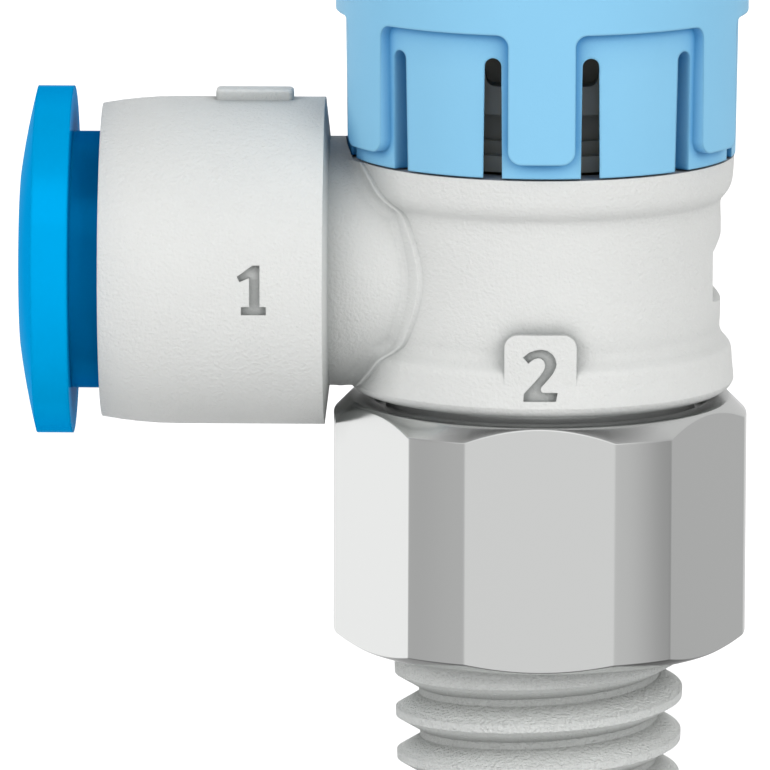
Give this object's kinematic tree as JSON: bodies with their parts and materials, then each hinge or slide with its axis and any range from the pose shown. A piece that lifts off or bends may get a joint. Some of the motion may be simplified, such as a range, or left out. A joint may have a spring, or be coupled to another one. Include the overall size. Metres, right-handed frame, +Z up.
{
  "type": "one-way flow control valve",
  "caption": "Elbow flow control valve with a hexagon stud and taper thread, a swivelling push-in tube port with a release ring, and a regulating knob on top.",
  "frame": {"origin": "on the stud's axis, level with the hexagon's lower face, where the thread starts", "axes": "+Z up the stud's axis from the thread to the knob, -X out of the tube port, -Y out of the numbered front"},
  "size_m": [0.0245, 0.0138, 0.0339],
  "materials": {
    "plated_brass": "satin nickel plate on turned brass, grey sealant on the thread",
    "turned_brass": "bare turned brass",
    "spring_steel": "rolled stainless spring sheet",
    "housing_plastic": "light grey moulded plastic with a fine spark texture",
    "knob_plastic": "pale blue moulded plastic, matte",
    "ring_plastic": "bright blue moulded plastic, smooth",
    "bonnet_plastic": "dark grey moulded plastic",
    "washer_plastic": "natural bearing plastic",
    "inner_plastic": "dark moulded plastic",
    "seal_rubber": "black nitrile rubber, greased"
  },
  "bodies": {
    "stud": {"hex_stud": "plated_brass", "lower_swivel_seal": "seal_rubber", "upper_swivel_seal": "seal_rubber", "thrust_washer": "washer_plastic", "retaining_ring": "spring_steel", "throttle_insert": "turned_brass", "insert_seal": "seal_rubber", "check_seal": "seal_rubber", "bonnet": "bonnet_plastic"},
    "housing": {"housing": "housing_plastic", "tube_seal": "seal_rubber", "support_ring": "inner_plastic", "grip_ring": "spring_steel", "retaining_sleeve": "turned_brass"},
    "release_ring": {"release_ring": "ring_plastic"},
    "knob": {"knob": "knob_plastic"},
    "screw": {"throttle_screw": "turned_brass", "screw_seal": "seal_rubber"}
  },
  "joints": [
    {"name": "housing_swivel", "type": "hinge", "parent": "stud", "child": "housing", "pos_m": [0, 0, 0.01292], "axis": [0, 0, 1], "continuous": true},
    {"name": "release_push", "type": "slide", "parent": "housing", "child": "release_ring", "axis": [1, 0, 0], "range_m": [0, 0.0008], "stiffness_N_per_m": 800},
    {"name": "knob_turn", "type": "hinge", "parent": "stud", "child": "knob", "pos_m": [0, 0, 0.0217], "axis": [0, 0, 1], "range_deg": [0, 1800]},
    {"name": "screw_lift", "type": "slide", "parent": "knob", "child": "screw", "axis": [0, 0, 1], "range_m": [0, 0.0025]}
  ],
  "couplings": [
    {"joint": "knob_turn", "follows": "screw_lift", "rad_per_m": 12566}
  ]
}
